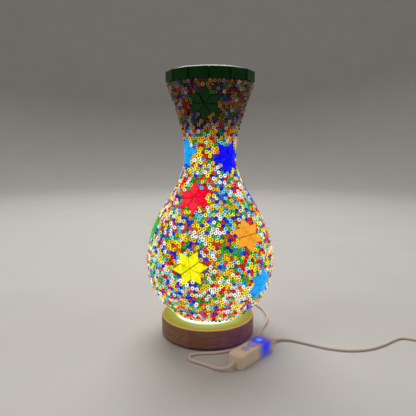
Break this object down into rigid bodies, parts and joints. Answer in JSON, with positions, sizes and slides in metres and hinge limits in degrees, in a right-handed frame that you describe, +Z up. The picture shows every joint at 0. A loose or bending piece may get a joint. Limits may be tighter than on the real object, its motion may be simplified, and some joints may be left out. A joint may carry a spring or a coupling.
{
  "type": "mosaic glass table lamp",
  "caption": "Vase-shaped table lamp: glass vase covered with seed beads and six-pointed glass stars, on a round lit wooden base with a corded key dimmer.",
  "frame": {"origin": "on the table, under the axis of the vase", "axes": "+Z up along the axis of the vase, -Y towards the side with the green star under the rim, +X to the right of it"},
  "size_m": [0.345, 0.1833, 0.2768],
  "materials": {
    "turned_wood": "satin lacquer",
    "diffuser": "frosted",
    "black_plastic": "moulded",
    "steel_screw": "plated",
    "foot_rubber": "matte",
    "circuit_board": "solder mask",
    "led": "clear moulding",
    "component": "moulded",
    "cord_jacket": "soft jacket",
    "cord_sleeve": "soft moulding",
    "wire_jacket": "thin jacket",
    "coil_tie": "woven strap",
    "switch_case": "moulded",
    "key_cap": "moulded",
    "plunger": "moulded",
    "usb_steel": "nickel plate",
    "usb_tongue": "moulded",
    "usb_gold": "plated",
    "clear_glass": "clear",
    "glue": "dried clear glue",
    "seed_beads": "mixed colours, glossy",
    "green_tile": "glossy",
    "sky_tile": "glossy",
    "cobalt_tile": "glossy",
    "red_tile": "glossy",
    "orange_tile": "glossy",
    "yellow_tile": "glossy"
  },
  "bodies": {
    "base": {"board_resistors": "component", "board_screws": "steel_screw", "bottom_cover": "black_plastic", "cable_tie": "black_plastic", "coil_tie": "coil_tie", "control_chip": "component", "cord_coil": "cord_jacket", "cord_inside": "cord_jacket", "cord_lamp": "cord_jacket", "cord_plug_end": "cord_jacket", "cord_sleeve": "cord_sleeve", "cord_supply": "cord_jacket", "cover_screws": "steel_screw", "diffuser": "diffuser", "foot_pads": "foot_rubber", "indicator_led": "led", "lead_wires": "wire_jacket", "led_board": "circuit_board", "led_chips": "led", "switch_board": "circuit_board", "switch_case_bottom": "switch_case", "switch_case_top": "switch_case", "switch_leads": "wire_jacket", "switch_sleeve_in": "cord_sleeve", "switch_sleeve_out": "cord_sleeve", "tact_switches": "component", "usb_body": "switch_case", "usb_contacts": "usb_gold", "usb_shell": "usb_steel", "usb_tongue": "usb_tongue", "wood_base": "turned_wood"},
    "vase": {"bead_coat": "seed_beads", "glass_vase": "clear_glass", "glue_coat": "glue", "rim_tiles": "green_tile", "star_cobalt_back": "cobalt_tile", "star_cobalt_neck": "cobalt_tile", "star_cobalt_shoulder": "cobalt_tile", "star_green_shoulder": "green_tile", "star_green_side": "green_tile", "star_green_top": "green_tile", "star_orange_low": "orange_tile", "star_orange_neck": "orange_tile", "star_orange_side": "orange_tile", "star_red_shoulder": "red_tile", "star_red_side": "red_tile", "star_red_top": "red_tile", "star_sky_low": "sky_tile", "star_sky_neck": "sky_tile", "star_yellow_back": "yellow_tile", "star_yellow_front": "yellow_tile", "star_yellow_top": "yellow_tile"},
    "key_power": {"key_power": "key_cap", "plunger_power": "plunger"},
    "key_brighter": {"key_brighter": "key_cap", "plunger_brighter": "plunger"},
    "key_dimmer": {"key_dimmer": "key_cap", "plunger_dimmer": "plunger"}
  },
  "joints": [
    {"name": "vase_lift", "type": "slide", "parent": "base", "child": "vase", "axis": [0, 0, 1], "range_m": [0, 0.06]},
    {"name": "key_power_press", "type": "slide", "parent": "base", "child": "key_power", "axis": [0, 0, -1], "range_m": [0, 0.0003], "stiffness_N_per_m": 800},
    {"name": "key_brighter_press", "type": "slide", "parent": "base", "child": "key_brighter", "axis": [0, 0, -1], "range_m": [0, 0.0003], "stiffness_N_per_m": 800},
    {"name": "key_dimmer_press", "type": "slide", "parent": "base", "child": "key_dimmer", "axis": [0, 0, -1], "range_m": [0, 0.0003], "stiffness_N_per_m": 800}
  ]
}
